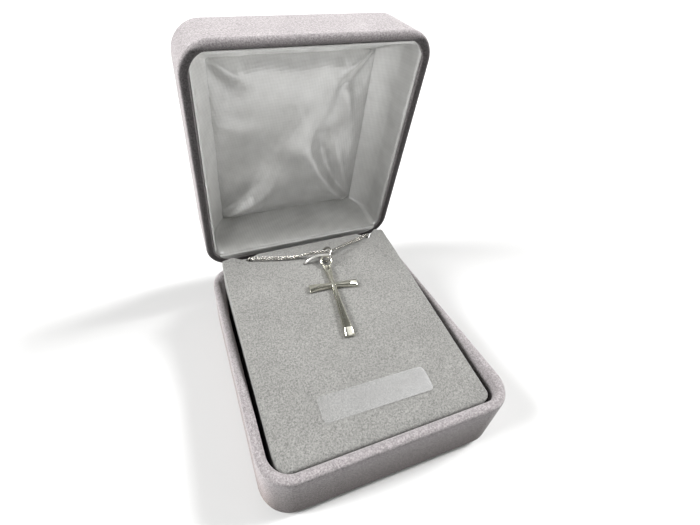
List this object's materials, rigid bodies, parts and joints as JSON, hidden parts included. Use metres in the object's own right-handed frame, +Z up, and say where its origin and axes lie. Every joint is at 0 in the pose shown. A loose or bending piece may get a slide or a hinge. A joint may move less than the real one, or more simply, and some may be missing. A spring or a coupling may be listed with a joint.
{
  "type": "cross necklace in hinged gift box",
  "caption": "Silver flared cross on a fine curb chain, pinned to the sloping card pad of an open flocked gift box whose satin-lined lid swings shut.",
  "frame": {"origin": "Middle of the tray's flat underside, where the box rests.", "axes": "+X to the right, +Y to the back where the hinge is, +Z up. The lid stands open in the rest pose."},
  "size_m": [0.066, 0.0903, 0.0921],
  "materials": {
    "flock": "short velvet flock",
    "pad_flock": "card with short grey flock",
    "label_film": "clear glossy film",
    "silver": "polished silver",
    "satin": "white satin",
    "hinge_steel": "plated steel"
  },
  "bodies": {
    "base": {"tray": "flock", "hinge_leaf_base": "hinge_steel", "hinge_pin": "hinge_steel", "pad": "pad_flock", "label": "label_film", "chain": "silver", "clasp": "silver", "jump_ring": "silver", "cross": "silver", "holding_wire": "silver"},
    "lid": {"lid_shell": "flock", "lid_lining": "satin", "lid_panel": "satin", "hinge_leaf_lid": "hinge_steel"}
  },
  "joints": [
    {"name": "lid_hinge", "type": "hinge", "parent": "base", "child": "lid", "pos_m": [0, 0.0355, 0.0197], "axis": [1, 0, 0], "range_deg": [0, 84]}
  ]
}
